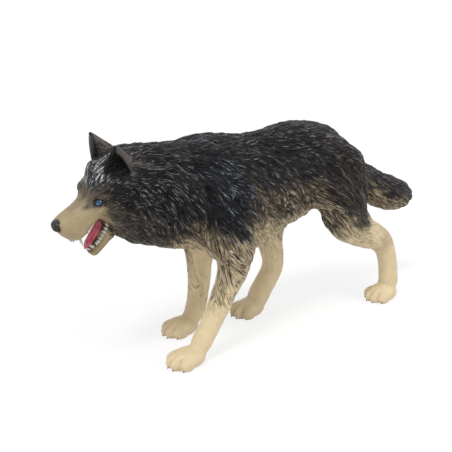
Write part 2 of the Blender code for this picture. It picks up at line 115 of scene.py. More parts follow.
# The coat: a place on the wolf (x, distance from the middle plane, z), the way its hair runs
# (outwards for the middle number), how deep it is carved, and its paint
COAT = (
    ((-49.0, 0.0, 40.0), (0.9, 0.0, 0.4), 0.0, "muzzle"),
    ((-45.0, 3.0, 38.0), (0.9, 0.1, 0.3), 0.12, "muzzle"),
    ((-47.0, 0.0, 42.2), (0.9, 0.0, 0.4), 0.1, "muzzle"),
    ((-44.6, 0.0, 44.2), (0.8, 0.0, 0.5), 0.16, "bridge"),
    ((-43.0, 1.4, 44.9), (0.9, 0.1, 0.4), 0.18, "bridge"),
    ((-41.0, 0.0, 46.6), (0.7, 0.0, 0.7), 0.25, "stop"),
    ((-41.2, 3.0, 45.2), (0.9, 0.3, 0.2), 0.2, "stop"),
    ((-43.2, 2.6, 42.9), (0.9, 0.2, 0.2), 0.12, "muzzle"),
    ((-41.7, 3.3, 41.4), (0.9, 0.2, 0.1), 0.12, "muzzle"),
    ((-39.6, 3.9, 41.9), (0.9, 0.2, 0.0), 0.14, "muzzle"),
    ((-38.5, 4.2, 47.5), (0.9, 0.3, 0.3), 0.3, "brow"),
    ((-39.8, 2.0, 32.5), (0.8, 0.0, 0.5), 0.0, "lip"),
    ((-37.5, 2.5, 34.5), (0.8, 0.0, 0.5), 0.0, "lip"),
    ((-40.5, 0.0, 49.5), (0.5, 0.0, 0.85), 0.42, "forehead"),
    ((-38.3, 2.8, 49.6), (0.6, 0.3, 0.7), 0.45, "forehead"),
    ((-36.0, 0.0, 54.0), (1.0, 0.0, 0.3), 0.5, "forehead"),
    ((-36.4, 3.6, 52.6), (0.8, 0.1, 0.5), 0.45, "forehead"),
    ((-35.0, 6.5, 56.0), (0.2, 0.2, 1.0), 0.1, "ear"),
    ((-36.6, 5.6, 46.8), (0.9, 0.3, -0.1), 0.45, "temple"),
    ((-34.0, 6.8, 45.0), (0.9, 0.3, -0.4), 0.6, "temple"),
    ((-36.6, 5.2, 43.2), (0.9, 0.2, -0.4), 0.4, "cheek"),
    ((-35.2, 6.0, 41.5), (0.9, 0.2, -0.5), 0.5, "cheek"),
    ((-34.8, 5.2, 38.6), (0.8, 0.2, -0.6), 0.6, "cheek"),
    ((-38.4, 4.0, 40.2), (0.9, 0.2, -0.3), 0.14, "muzzle"),
    ((-37.2, 4.2, 38.8), (0.9, 0.2, -0.3), 0.15, "lip"),
    ((-33.0, 8.5, 40.0), (0.6, 0.2, -0.8), 0.9, "ruff_low"),
    ((-31.0, 7.5, 46.0), (0.55, 0.2, -0.85), 0.8, "ruff"),
    ((-32.0, 0.0, 36.0), (0.6, 0.0, -0.8), 0.9, "throat"),
    ((-27.0, 0.0, 56.0), (1.0, 0.0, 0.0), 0.9, "back"),
    ((-26.0, 8.0, 50.0), (0.6, 0.1, -0.75), 1.0, "ruff"),
    ((-24.0, 10.0, 45.0), (0.5, 0.1, -0.85), 1.0, "ruff"),
    ((-22.0, 10.5, 39.0), (0.5, 0.1, -0.85), 1.0, "ruff"),
    ((-28.0, 7.0, 38.0), (0.5, 0.1, -0.85), 1.0, "ruff_low"),
    ((-24.0, 6.0, 33.0), (0.6, 0.0, -0.8), 1.0, "ruff_low"),
    ((-21.5, 9.5, 35.5), (0.5, 0.1, -0.85), 1.0, "ruff_low"),
    ((-18.5, 9.5, 34.0), (0.6, 0.0, -0.8), 1.0, "chest"),
    ((-15.0, 10.0, 34.0), (0.6, 0.0, -0.8), 1.0, "chest"),
    ((-17.0, 8.0, 30.5), (0.7, 0.0, -0.7), 1.0, "belly"),
    ((-17.0, 9.3, 50.5), (0.6, 0.1, -0.7), 1.0, "ruff"),
    # Painted shade in the dip behind the ruff
    ((-14.7, 9.6, 50.0), (0.7, 0.0, -0.7), 1.0, "groove"),
    ((-12.2, 9.8, 49.6), (0.8, 0.0, -0.5), 1.0, "shoulder"),
    ((-16.8, 11.0, 44.5), (0.5, 0.1, -0.85), 1.0, "ruff"),
    # Painted shade in the dip behind the ruff
    ((-14.2, 11.4, 44.2), (0.6, 0.0, -0.7), 1.0, "groove"),
    ((-11.4, 11.6, 44.0), (0.8, 0.0, -0.6), 1.0, "shoulder"),
    ((-16.4, 11.2, 39.5), (0.5, 0.1, -0.85), 1.0, "ruff"),
    # Painted shade in the dip behind the ruff
    ((-13.8, 11.6, 39.0), (0.6, 0.0, -0.7), 1.0, "groove"),
    ((-10.8, 11.8, 38.5), (0.7, 0.0, -0.7), 1.0, "shoulder"),
    ((-14.0, 3.0, 28.5), (0.8, 0.0, -0.6), 0.9, "belly"),
    ((-10.0, 4.0, 55.0), (1.0, 0.0, -0.1), 0.9, "back"),
    ((-10.0, 11.0, 47.0), (0.8, 0.0, -0.5), 1.0, "shoulder"),
    ((-6.0, 12.0, 38.0), (0.7, 0.0, -0.7), 1.0, "shoulder"),
    ((-6.0, 11.0, 34.5), (0.6, 0.0, -0.8), 1.0, "shoulder"),
    ((-5.5, 10.5, 29.5), (0.6, 0.0, -0.8), 0.95, "arm"),
    ((-5.0, 10.5, 25.5), (0.5, 0.0, -0.85), 0.8, "arm"),
    ((8.0, 5.0, 54.0), (1.0, 0.0, -0.15), 0.9, "back"),
    ((6.0, 10.5, 46.0), (0.85, 0.0, -0.5), 1.0, "flank"),
    ((4.0, 11.0, 37.0), (0.8, 0.0, -0.55), 0.9, "flank_low"),
    ((12.0, 9.0, 35.0), (0.8, 0.0, -0.5), 0.9, "flank_low"),
    ((4.0, 9.5, 30.6), (0.8, -0.1, -0.6), 0.9, "belly"),
    ((12.0, 7.5, 30.2), (0.8, -0.1, -0.6), 0.9, "belly"),
    ((14.0, 1.0, 26.0), (0.95, 0.0, -0.2), 0.5, "belly"),
    ((22.0, 4.0, 55.0), (1.0, 0.0, 0.0), 0.8, "back"),
    ((20.0, 9.0, 46.0), (0.85, 0.0, -0.5), 0.9, "flank"),
    ((22.0, 8.0, 37.0), (0.8, 0.0, -0.5), 0.9, "flank_low"),
    ((22.0, 5.0, 31.0), (0.8, 0.0, -0.5), 0.9, "belly"),
    ((34.0, 6.0, 51.0), (0.95, 0.1, -0.35), 0.8, "rump"),
    ((30.0, 10.0, 44.0), (0.8, 0.0, -0.6), 0.9, "rump"),
    ((33.0, 11.0, 36.0), (0.6, 0.0, -0.8), 0.9, "thigh"),
    ((42.0, 7.0, 34.0), (0.4, 0.0, -0.9), 0.8, "thigh"),
    ((37.0, 10.0, 29.0), (0.8, 0.0, -0.5), 0.5, "thigh"),
    ((28.4, 9.0, 30.0), (0.6, 0.0, -0.8), 0.7, "flank_low"),
    ((32.5, 9.0, 27.0), (0.8, 0.0, -0.5), 0.5, "arm"),
    ((36.0, 9.0, 24.5), (0.9, 0.0, -0.4), 0.25, "leg"),
    ((43.0, 9.0, 24.0), (0.8, 0.0, -0.5), 0.2, "leg"),
    ((43.0, 1.0, 48.0), (0.65, 0.0, -0.75), 0.9, "rump"),
    ((48.0, 2.0, 41.5), (0.75, 0.0, -0.65), 1.0, "tail"),
    ((53.0, 4.0, 37.5), (0.8, 0.0, -0.6), 1.0, "tail"),
    ((47.0, 1.5, 34.4), (0.75, 0.0, -0.65), 0.8, "tail_under"),
    ((52.0, 3.5, 34.6), (0.8, 0.0, -0.6), 1.0, "tail"),
    ((53.0, 2.5, 30.9), (0.8, 0.0, -0.6), 0.8, "tail_under"),
    ((59.0, 3.5, 31.0), (0.87, 0.0, -0.45), 1.0, "tail"),
    ((60.0, 2.5, 27.2), (0.87, 0.0, -0.45), 0.8, "tail_under"),
    ((60.0, 4.0, 33.5), (0.87, 0.0, -0.45), 1.0, "tail"),
    ((68.0, 3.0, 31.0), (0.9, 0.0, -0.35), 1.0, "tail"),
    ((72.0, 0.0, 28.0), (0.9, 0.0, -0.35), 0.8, "tail_tip"),
    ((-7.6, 10.2, 22.0), (0.5, 0.0, -0.85), 0.6, "arm"),
    ((-4.6, 9.0, 21.0), (0.5, 0.0, -0.85), 0.4, "leg"),
    ((-6.5, 5.8, 25.0), (0.2, 0.0, -1.0), 0.1, "leg"),
    ((-8.5, 6.0, 21.0), (0.2, 0.0, -1.0), 0.0, "leg"),
    ((-4.0, 5.8, 21.0), (0.2, 0.0, -1.0), 0.0, "leg"),
    ((-8.6, 10.0, 18.0), (0.4, 0.0, -0.9), 0.5, "leg"),
    ((-9.5, 9.0, 13.0), (0.2, 0.0, -1.0), 0.15, "leg"),
    ((-2.0, 9.0, 17.0), (0.0, 0.0, -1.0), 0.15, "leg"),
    ((-11.0, 9.0, 5.0), (-0.5, 0.0, -0.9), 0.0, "leg"),
    ((-15.0, 8.5, 6.0), (-0.5, 0.0, -0.9), 0.0, "leg"),
    ((-19.0, 8.0, 3.0), (-0.8, 0.0, -0.6), 0.0, "leg"),
    ((-22.0, 8.0, 2.0), (-0.8, 0.0, -0.6), 0.0, "leg"),
    ((22.0, 9.0, 20.0), (0.2, 0.0, -1.0), 0.2, "leg"),
    ((22.0, 9.0, 11.0), (0.0, 0.0, -1.0), 0.1, "leg"),
    ((16.0, 8.0, 4.0), (-0.5, 0.0, -0.9), 0.0, "leg"),
    ((50.0, 8.0, 22.5), (0.7, 0.0, -0.7), 0.1, "hock"),
    ((54.0, 8.0, 14.0), (0.0, 0.0, -1.0), 0.1, "leg"),
    ((52.0, 7.0, 4.0), (-0.5, 0.0, -0.9), 0.0, "leg"),
    ((49.0, 7.0, 2.5), (-0.8, 0.0, -0.6), 0.0, "leg"),
    ((11.5, 8.0, 2.5), (-0.8, 0.0, -0.6), 0.0, "leg"),
)
COMB_SHARPNESS = 4
PAINT_SHARPNESS = 7

# Paint on the head, in the head's own frame: middle (forward, out, up), reach, paint
HEAD_PATCHES = (
    ((8.3, 4.0, 2.0), (1.7, 1.6, 1.0), "eye_rim"),
    ((18.6, 0.0, 0.8), (1.35, 1.95, 1.75), "eye_rim"),
    ((8.0, 0.0, -4.0), (3.6, 2.4, 1.3), "palate"),
    ((12.5, 0.0, -5.2), (3.2, 1.8, 1.4), "palate"),
    # The mouth's brown lining, darker as painted shade between the tongue and the teeth
    ((7.9, 0.0, -5.9), (2.8, 2.4, 1.5), "mouth"),
    ((11.3, 0.0, -8.1), (2.6, 2.1, 1.3), "mouth"),
    ((13.2, 0.0, -9.4), (1.6, 1.5, 1.1), "mouth"),
)

# The eyes, in the head's frame: where they lie, the ways they look and run, and their half sizes. The
# iris is placed on a ball of half size 1
EYE_AT = {-1: (8.4, 3.75, 2.0), 1: (8.4, 3.35, 2.0)}
EYE_OUT = (0.5, 0.86, 0.1)
EYE_ALONG = (0.86, -0.5, -0.28)
EYE_RADII = (1.0, 0.64, 0.6)
IRIS_AT = (-0.24, 0.08)
LID_HALF_WIDTH = 1.25
LID_HEIGHT = 0.62

# The nose leather, and the pushes that flatten it and press in the nostrils and the groove
NOSE_AT = (18.0, 0.0, 0.85)
NOSE_RADII = (1.42, 1.7, 1.58)
NOSE_TOUCHES = (
    ((0.2, 0.0, 1.5), (2.0, 2.2, 0.7), (0.0, 0.0, -0.25)),
    ((0.0, 0.0, -1.6), (2.0, 2.0, 0.9), (-0.2, 0.0, 0.35)),
    ((1.0, 0.72, 0.0), (0.75, 0.5, 0.42), (-0.75, 0.1, 0.0)),
    ((0.55, 1.25, -0.3), (0.6, 0.55, 0.26), (-0.3, -0.45, 0.0)),
    ((1.3, 0.0, -0.7), (0.8, 0.2, 1.0), (-0.3, 0.0, 0.0)),
)

# Lower jaw and tongue: forward, up, half width, half depth
JAW = (
    (3.4, -5.2, 3.4, 2.6),
    (7.0, -7.5, 2.5, 1.9),
    (10.5, -9.5, 2.2, 1.6),
    (13.2, -10.8, 1.7, 1.2),
)
TONGUE = (
    (5.0, -4.6, 1.5, 0.8),
    (7.5, -5.9, 1.5, 0.75),
    (10.0, -7.3, 1.45, 0.7),
    (12.0, -8.4, 1.4, 0.65),
    (14.2, -9.6, 1.2, 0.55),
)
TONGUE_RINGS = 22
TONGUE_LIFT = 0.45
TONGUE_ASIDE = 0.75

# Teeth of one side. Upper: forward, out, up, length, radius. Lower: step along the jaw, share of its
# half width, length, radius
UPPER_TEETH = (
    (15.3, 1.9, -4.4, 2.2, 0.34),
    (13.2, 2.3, -4.8, 0.6, 0.24),
    (12.1, 2.4, -4.4, 0.5, 0.22),
    (11.0, 2.5, -3.9, 0.5, 0.22),
    (16.8, 0.35, -4.2, 0.9, 0.24),
    (16.6, 1.0, -4.3, 0.9, 0.26),
)
LOWER_TEETH = (
    (0.75, 0.66, 0.85, 0.42),
    (0.96, 0.68, 1.0, 0.46),
    (1.18, 0.68, 0.9, 0.46),
    (1.4, 0.68, 1.0, 0.46),
    (1.62, 0.68, 0.9, 0.44),
    (1.83, 0.68, 0.95, 0.42),
    (2.03, 0.68, 0.85, 0.4),
    (2.23, 0.66, 0.8, 0.36),
    (2.62, 0.58, 1.5, 0.38),
    (2.9, 0.36, 0.8, 0.28),
    (2.94, 0.12, 0.8, 0.28),
)
TOOTH_SUNK = 0.3
TOOTH_TIP = 0.18
TOOTH_SWELL = 0.35
# How far a tooth's ground is looked for, how far from the start it stands if there is none, and how far
# below its place the search for an upper tooth's ground starts
GROUND_REACH = 3.5
GROUND_CLEAR = 1.6
UPPER_START = 1.2

# The left ear (-1) and the right one (1), held differently: the foot in the head's frame, the height,
# how far it reaches behind, its wall, and how it leans back, spreads and turns outwards
EARS = {
    -1: ((1.0, 4.9, 4.2), 9.0, 3.9, 1.3, -2.0, 9.0, 46.0),
    1: ((0.6, 4.9, 4.4), 8.4, 6.4, 0.9, 6.0, 9.0, 14.0),
}
EAR_HALF_WIDTH = 3.5
EAR_AHEAD = 1.2

# How finely the skin is worked, what counts as a loose crumb, and how often it is smoothed: all over,
# and under the coat
SKIN_VOXEL = 0.24
SKIN_TRIANGLES = 197000
CRUMB_POINTS = 1000
SKIN_SMOOTHING = 5
COAT_SMOOTHING = 60

# The crown, where the solid's ears are pressed flat under the scene's own, in the head's frame: its
# height in the middle, its fall to the sides, how far back it reaches, and what is left of what rises
# above it and of its width
CROWN_UP = 8.2
CROWN_FALL = 0.06
CROWN_BACK = -6.0
CROWN_LEFT = 0.04
CROWN_NARROWED = 0.9

# The carving: broad clumps with small locks on them, hair lines in two sizes (across, along, seed), how
# the combing sways (degrees, size, seed), how far each stands out of the sunk coat, and how far a clump
# leans along its hair
CLUMPS = {"length": 12.0, "width": 4.6, "spacing": 3.4, "spread": 9, "seed": 7}
LOCKS = {"length": 6.5, "width": 1.5, "spacing": 1.3, "spread": 12, "seed": 8}
BROAD_HAIRS = (0.62, 3.5, 21)
FINE_HAIRS = (0.42, 3.0, 22)
SWAYS = ((16, 7.0, 11), (10, 3.2, 12))
CLUMP_LIFT = 0.65
LOCK_LIFT = 0.45
HAIR_LIFT = 0.55
COAT_SUNK = 0.95
CLUMP_LEAN = 0.4

# The painted hairs on the locks (length, width, shift), the wave in them (length, width, swing), and how
# much shorter they are on the face, which begins between these two places along the wolf
PAINTED_HAIRS = ((3.2, 0.23, 0.0), (2.2, 0.13, 5.5))
HAIR_WAVE = (3.5, 2.5, 0.5)
FACE_SHORTER = 1.6
FACE_FROM = -31
FACE_TO = -37

# The levels of the painted coat, from groove to ridge: bare places, between which the wash and painted
# shade give way to the coat's colour, from which a nearly empty brush and its painted highlights catch,
# how much lower a full one does, and how soft its edge is
BARE_LEVEL = 0.52
WASH_AND_SHADE_LEVELS = (0.34, 0.56)
BRUSH_HIGHLIGHT_LEVEL = 0.9
BRUSH_HIGHLIGHT_LOAD = 0.4
BRUSH_HIGHLIGHT_EDGE = 0.14


def smoothstep(low, high, value):
    share = np.clip((value - low) / (high - low), 0, 1)
    return share * share * (3 - 2 * share)


def head_frame():
    """From the head's own forward, sideways and up to where the wolf stands."""
    pitch = math.radians(HEAD_PITCH)
    forward = Vector((-math.cos(pitch), 0, -math.sin(pitch)))
    up = Vector((-math.sin(pitch), 0, math.cos(pitch)))
    turn = Matrix((forward, Vector((0, 1, 0)), up)).transposed()
    roll = Matrix.Rotation(math.radians(HEAD_ROLL), 4, "X")
    return Matrix.Translation(DRAWN_AT + Vector(HEAD_AT)) @ turn.to_4x4() @ roll


def add_ball(bm, centre, radii, turn=None, sides=24):
    """An egg: a ball scaled to three half sizes."""
    place = Matrix.Translation(centre) @ (turn or Matrix.Identity(4))
    scale = Matrix.Diagonal((*radii, 1.0))
    made = bmesh.ops.create_uvsphere(
        bm, u_segments=sides, v_segments=sides * 2 // 3, radius=1.0, matrix=place @ scale
    )
    return made["verts"]


def object_of(bm, name):
    """An object from the shapes in bm, which are in millimetres."""
    bmesh.ops.recalc_face_normals(bm, faces=bm.faces)
    bmesh.ops.scale(bm, vec=(MM, MM, MM), verts=bm.verts)
    mesh = bpy.data.meshes.new(name)
    bm.to_mesh(mesh)
    bm.free()
    mesh.shade_smooth()
    made = bpy.data.objects.new(name, mesh)
    bpy.context.scene.collection.objects.link(made)
    return made


def settle(obj):
    """Puts the object's modifiers into its mesh for good."""
    graph = bpy.context.evaluated_depsgraph_get()
    mesh = bpy.data.meshes.new_from_object(obj.evaluated_get(graph))
    obj.modifiers.clear()
    obj.data = mesh
    return obj


def add_rings(bm, sides, places):
    """A closed skin over rings. Each of places takes a point of a flat round ring to where it belongs."""
    before = None
    for place in places:
        ring = bmesh.ops.create_circle(bm, segments=sides, radius=1.0)["verts"]
        for vert in ring:
            vert.co = place(vert.co.x, vert.co.y)
        edges = list(dict.fromkeys(edge for vert in ring for edge in vert.link_edges))
        if before:
            bmesh.ops.bridge_loops(bm, edges=before + edges)
        else:
            bmesh.ops.contextual_create(bm, geom=ring)
        before = edges
    bmesh.ops.contextual_create(bm, geom=ring)


def finished(piece, material):
    """The piece gets its paint and moves with the wolf."""
    piece.data.materials.append(material)
    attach(piece, "root")


# Fields over the skin: arrays of places in millimetres, and one value for each


def lattice(cells, seed):
    """A fixed random number from 0 to 1 for each whole-numbered place."""
    mixed = cells[..., 0] * 374761393 + cells[..., 1] * 668265263 + cells[..., 2] * 1440662683
    mixed = mixed + seed * 1013904223
    mixed = (mixed ^ (mixed >> 13)) * 1274126177
    mixed = mixed ^ (mixed >> 16)
    return (mixed & 0xFFFF) / 65535.0


def cloud(points, size, seed):
    """Smooth random values from 0 to 1 that change over about the given size."""
    spot = points / size + 100.0
    cell = np.floor(spot).astype(np.int64)
    part = spot - cell
    part = part * part * (3 - 2 * part)
    total = 0.0
    for corner in itertools.product((0, 1), repeat=3):
        share = np.prod(np.where(corner, part, 1 - part), axis=-1)
        total = total + share * lattice(cell + np.array(corner), seed)
    return total


def hair_field(points, run):
    """The way the hair runs in 1 mm cells on and around the skin, with the field's lowest corner."""
    low = points.min(0) - 6
    shape = np.ceil(points.max(0) + 6 - low).astype(int)
    grid = np.zeros((*shape, 3))
    np.add.at(grid, tuple(np.floor(points - low).astype(int).T), run)
    for _ in range(5):
        spread = grid
        for axis in range(3):
            spread = spread + np.roll(spread, 1, axis) + np.roll(spread, -1, axis)
        length = np.linalg.norm(spread, axis=3, keepdims=True)
        empty = np.linalg.norm(grid, axis=3, keepdims=True) < 1e-6
        grid = np.where(empty, spread / (length + 1e-9), grid)
    grid /= np.linalg.norm(grid, axis=3, keepdims=True) + 1e-9
    return grid, low


def way_at(points, field):
    """The way the hair runs at each point."""
    grid, low = field
    top = np.array(grid.shape[:3]) - 1
    cell = np.clip(np.floor(points - low).astype(int), 0, top)
    return grid[tuple(cell.T)]


def streaks(points, field, size, reach, seed, steps=7):
    """Random values, evenly spread from 0 to 1, alike along the hair and different across it."""
    total = cloud(points, size, seed)
    for sign in (-1, 1):
        place = points.copy()
        for _ in range(steps):
            place = place + sign * way_at(place, field) * reach / steps
            total = total + cloud(place, size, seed)
    rank = np.empty(len(points))
    rank[np.argsort(total)] = np.arange(len(points)) / len(points)
    return rank


def coat_weights(points, sharpness):
    """How much each row of the coat's table counts at each point, the nearest ones most."""
    mirrored = np.stack([points[:, 0], abs(points[:, 1]), points[:, 2]], 1)
    places = np.array([row[0] for row in COAT])
    weights = np.empty((len(points), len(COAT)))
    at_once = 20000
    for start in range(0, len(points), at_once):
        some = mirrored[start : start + at_once]
        apart = np.linalg.norm(some[:, None] - places[None], axis=2)
        weights[start : start + at_once] = (apart + 0.5) ** -sharpness
    return weights / weights.sum(1, keepdims=True)


def combed(points, normals):
    """At each point, the way the hair runs along the skin and how deep it is carved."""
    weights = coat_weights(points, COMB_SHARPNESS)
    run = weights @ np.array([row[1] for row in COAT])
    run[:, 1] *= np.sign(points[:, 1])
    run -= normals * (run * normals).sum(1, keepdims=True)
    run /= np.linalg.norm(run, axis=1, keepdims=True) + 1e-9
    across = np.cross(normals, run)
    sway = sum(np.radians(turn) * (cloud(points, size, seed) * 2 - 1) for turn, size, seed in SWAYS)
    run = run * np.cos(sway)[:, None] + across * np.sin(sway)[:, None]
    return run, weights @ np.array([row[2] for row in COAT])


def locks(points, normals, run, length, width, spacing, spread, seed):
    """Overlapping pointed locks: how high they stand at each point, from 0 to 1, which one is on top
    there, and every lock's root, way, side and shade."""
    dice = random.Random(seed)
    order = list(range(len(points)))
    dice.shuffle(order)
    taken = {}
    cells = np.floor(points / spacing).astype(int)
    for i in order:
        taken.setdefault(tuple(cells[i]), i)
    roots = np.array(list(taken.values()))
    tree = kdtree.KDTree(len(roots))
    for number, i in enumerate(roots):
        tree.insert(points[i] + run[i] * length * 0.5, number)
    tree.balance()
    near = np.array([[n for _, n, _ in tree.find_n(p, 10)] for p in points])
    swing = np.radians([dice.uniform(-spread, spread) for _ in roots])
    size = np.array([dice.uniform(0.7, 1.2) for _ in roots])
    shade = np.array([dice.random() for _ in roots])
    across = np.cross(normals[roots], run[roots])
    ways = run[roots] * np.cos(swing)[:, None] + across * np.sin(swing)[:, None]
    across = np.cross(normals[roots], ways)
    # Each point against its ten nearest locks: the highest of them shows
    offset = points[:, None] - points[roots][near]
    along = (offset * ways[near]).sum(2) / (length * size[near])
    aside = (offset * across[near]).sum(2) / (width / 2 * size[near])
    inside = (along > 0) & (along < 1)
    along = np.clip(along, 0, 1)
    taper = np.sqrt(1 - along**2) + 1e-6
    dome = np.sqrt(np.clip(1 - (aside / taper) ** 2, 0, 1))
    rise = 0.45 + 0.55 * along * (1 - 0.6 * along**5)
    height = np.where(inside, rise * dome, 0) * size[near]
    top = height.argmax(1)
    rows = np.arange(len(points))
    short = 1 + FACE_SHORTER * smoothstep(FACE_FROM, FACE_TO, points[roots][:, 0])
    return height[rows, top], near[rows, top], (points[roots], ways * short[:, None], across, shade * 97.0)


# The skin

# The middle of each paw, its toes, and the claws on them
TOES_AT = {
    "front_left": (-18.0, -8.0),
    "front_right": (-8.0, 8.9),
    "hind_left": (53.2, -7.0),
    "hind_right": (14.6, 8.0),
}
TOE_RADII = (2.4, 1.1, 1.9)
TOE_SPREAD = 1.9
TOE_REACH = 3.5
OUTER_TOE_BACK = 1.6
CLAW_RADII = (0.7, 0.34, 0.4)
CLAW_AT = (-1.7, 0.0, -0.95)
CLAW_LEAN = -32
CLAW_CLEAR = 0.05


def toe_places(paw):
    """The middle of each of a paw's four toes, and how it is splayed."""
    x, y = TOES_AT[paw]
    for number in (-1.5, -0.5, 0.5, 1.5):
        reach = TOE_REACH - (OUTER_TOE_BACK if abs(number) > 1 else 0)
        splay = Matrix.Rotation(math.radians(-8 * number), 4, "Z")
        yield DRAWN_AT + Vector((x - reach, y + number * TOE_SPREAD, 2.0)), splay


def ear_frame(side):
    """The ear's own frame, at its foot: the way it faces, across it, and up to its tip."""
    (forward, aside, up), _, _, _, lean, spread, turn = EARS[side]
    return (
        head_frame()
        @ Matrix.Translation((forward, side * aside, up))
        @ Matrix.Rotation(math.radians(turn) * side, 4, "Z")
        @ Matrix.Rotation(math.radians(-spread) * side, 4, "X")
        @ Matrix.Rotation(math.radians(-lean), 4, "Y")
    )


def ear_ring(side, rise, foot):
    """A section of the ear at a share of its height, with its foot drawn in by a share."""
    _, height, reach_behind, wall, _, _, _ = EARS[side]
    frame_of_ear = ear_frame(side)
    above = max(rise, 0.0)
    half_width = (EAR_HALF_WIDTH * (1 - above**2.2) + 0.2) * foot
    behind = (reach_behind * (1 - above) + 0.35) * foot
    ahead = (EAR_AHEAD * (1 - above) + 0.25) * foot
    hollow = max(behind + ahead - wall, 0.0) * min(max(rise * 6 + 0.2, 0.0), 1.0) * 0.95

    def place(across, front):
        rim = max(1 - ((-side * across - 0.2) / 0.8) ** 2, 0.0)
        dent = hollow * max(front, 0.0) ** 0.7 * rim
        deep = front * (ahead if front > 0 else behind) - dent
        curl = 0.5 * (1 - above) * across**2
        return frame_of_ear @ Vector((deep + curl, across * half_width, rise * height))

    return place


def add_ear(bm, side):
    """A pointed cup, open to the front: crescent sections that shrink to the tip, on a foot that draws
    in under it, into the head."""
    steps = 24
    foot_steps = 3
    rings = []
    for step in range(-foot_steps, steps + 1):
        rings.append(ear_ring(side, step / steps, 1 - 0.25 * max(-step, 0)))
    add_rings(bm, 56, rings)


# Pushes of the sculptor's thumb on the head: place (forward, out, up), reach, and the push
HEAD_TOUCHES = (
    ((8.6, 3.7, 2.5), (1.5, 1.2, 1.0), (-0.5, -0.7, 0.0)),
    ((8.0, 3.4, 3.9), (2.4, 1.5, 1.0), (0.2, 0.4, 0.1)),
    ((8.6, 3.4, 1.2), (2.0, 1.3, 0.9), (0.1, 0.35, 0.0)),
    ((9.5, 0.0, 3.6), (3.0, 1.4, 1.5), (0.0, 0.0, -0.4)),
    ((4.5, 2.6, 7.0), (3.0, 2.6, 2.6), (0.1, 0.1, 1.0)),
    ((18.8, 0.0, 0.9), (2.3, 2.6, 2.4), (-0.75, 0.0, 0.0)),
    ((17.9, 0.0, 2.4), (2.0, 2.4, 1.5), (-0.1, 0.0, -0.55)),
    ((14.5, 2.6, -2.6), (2.6, 1.2, 1.8), (0.0, 0.45, -0.1)),
    ((11.0, 3.2, -0.4), (2.6, 1.2, 1.2), (0.0, -0.35, 0.0)),
)
# The same in the drawing: the dip behind the ruff, the ruff's own edge, the shoulder, the withers and
# the rump
BODY_TOUCHES = (
    ((-14.5, 9.0, 51.5), (1.8, 4.0, 4.0), (0.0, -0.8, -0.3)),
    ((-14.0, 11.5, 45.5), (1.8, 4.0, 4.5), (0.0, -1.0, 0.0)),
    ((-13.5, 11.5, 39.0), (1.8, 4.0, 4.5), (0.0, -0.9, 0.0)),
    ((-18.0, 10.5, 48.0), (3.2, 4.0, 6.0), (0.4, 0.5, 0.0)),
    ((-17.5, 11.0, 41.0), (3.2, 4.0, 6.0), (0.4, 0.4, 0.0)),
    ((-6.0, 12.0, 44.0), (6.0, 4.0, 8.0), (0.0, 0.3, 0.0)),
    ((-13.0, 0.0, 57.5), (4.5, 9.0, 4.0), (0.0, 0.0, -0.8)),
    ((44.0, 0.0, 51.5), (6.0, 7.0, 6.0), (-0.6, 0.0, -0.6)),
)
# The grooves between the toes, from the middle of a paw
TOE_GROOVES = (
    ((-4.4, 0.0, 2.2), (3.0, 0.6, 2.6), (0.9, 0.0, -0.5)),
    ((-4.0, 1.9, 2.2), (3.0, 0.6, 2.6), (0.9, 0.0, -0.5)),
)


def within(points, place):
    """The points as seen from the frame place."""
    into = np.array(place.inverted())
    return points @ into[:3, :3].T + into[:3, 3]


def touched(points, place, touches):
    """The points after each touch has pushed those within its reach. The touches lie in the frame place,
    and those off its middle plane come in pairs."""
    local = within(points, place)
    for (forward, aside, up), reach, push in touches:
        for side in (-1, 1) if aside else (1,):
            offset = (local - (forward, side * aside, up)) / reach
            share = np.clip(1 - (offset**2).sum(1), 0, 1) ** 2
            local = local + share[:, None] * np.array((push[0], side * push[1], push[2]))
    return local @ np.array(place.to_3x3()).T + np.array(place.translation)


def read_points(mesh, name):
    values = np.empty(len(mesh.vertices) * 3)
    mesh.vertices.foreach_get(name, values)
    return values.reshape(-1, 3)


def smooth(skin, times, group=""):
    """Smooths the skin, or the part of it that the group weighs."""
    modifier = skin.modifiers.new("smooth", "SMOOTH")
    modifier.factor = 0.5
    modifier.iterations = times
    modifier.vertex_group = group
    settle(skin)


def bare_skin():
    """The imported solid, with the scene's own ears and finer toes, as one smooth skin of even faces."""
    bm = bmesh.new()
    bm.from_mesh(frame["nodes"]["wolf"].data)
    bmesh.ops.remove_doubles(bm, verts=bm.verts, dist=1e-6)
    bmesh.ops.scale(bm, vec=(1 / MM, 1 / MM, 1 / MM), verts=bm.verts)
    head = head_frame()
    inward = head.inverted()
    for vert in bm.verts:
        local = inward @ vert.co
        crown = CROWN_UP - CROWN_FALL * local.y**2
        if local.x > CROWN_BACK and local.z > crown:
            up = crown + CROWN_LEFT * (local.z - crown)
            vert.co = head @ Vector((local.x, local.y * CROWN_NARROWED, up))
    solid = bpy.data.meshes.new("solid")
    bm.to_mesh(solid)
    bm.clear()
    for side in (-1, 1):
        add_ear(bm, side)
    for paw in TOES_AT:
        for place, splay in toe_places(paw):
            add_ball(bm, place, TOE_RADII, splay)
    bm.from_mesh(solid)
    skin = object_of(bm, "wolf_skin")
    remesh = skin.modifiers.new("fuse", "REMESH")
    remesh.mode = "VOXEL"
    remesh.voxel_size = SKIN_VOXEL * MM
    smooth(skin, SKIN_SMOOTHING)
    points = read_points(skin.data, "co") / MM - np.array(DRAWN_AT)
    _, depth = combed(points, read_points(skin.data, "normal"))
    coat = skin.vertex_groups.new(name="coat")
    for level in range(1, 11):
        chosen = np.nonzero(np.round(depth * 10) == level)[0]
        coat.add(chosen.tolist(), level / 10, "REPLACE")
    smooth(skin, COAT_SMOOTHING, "coat")
    return skin


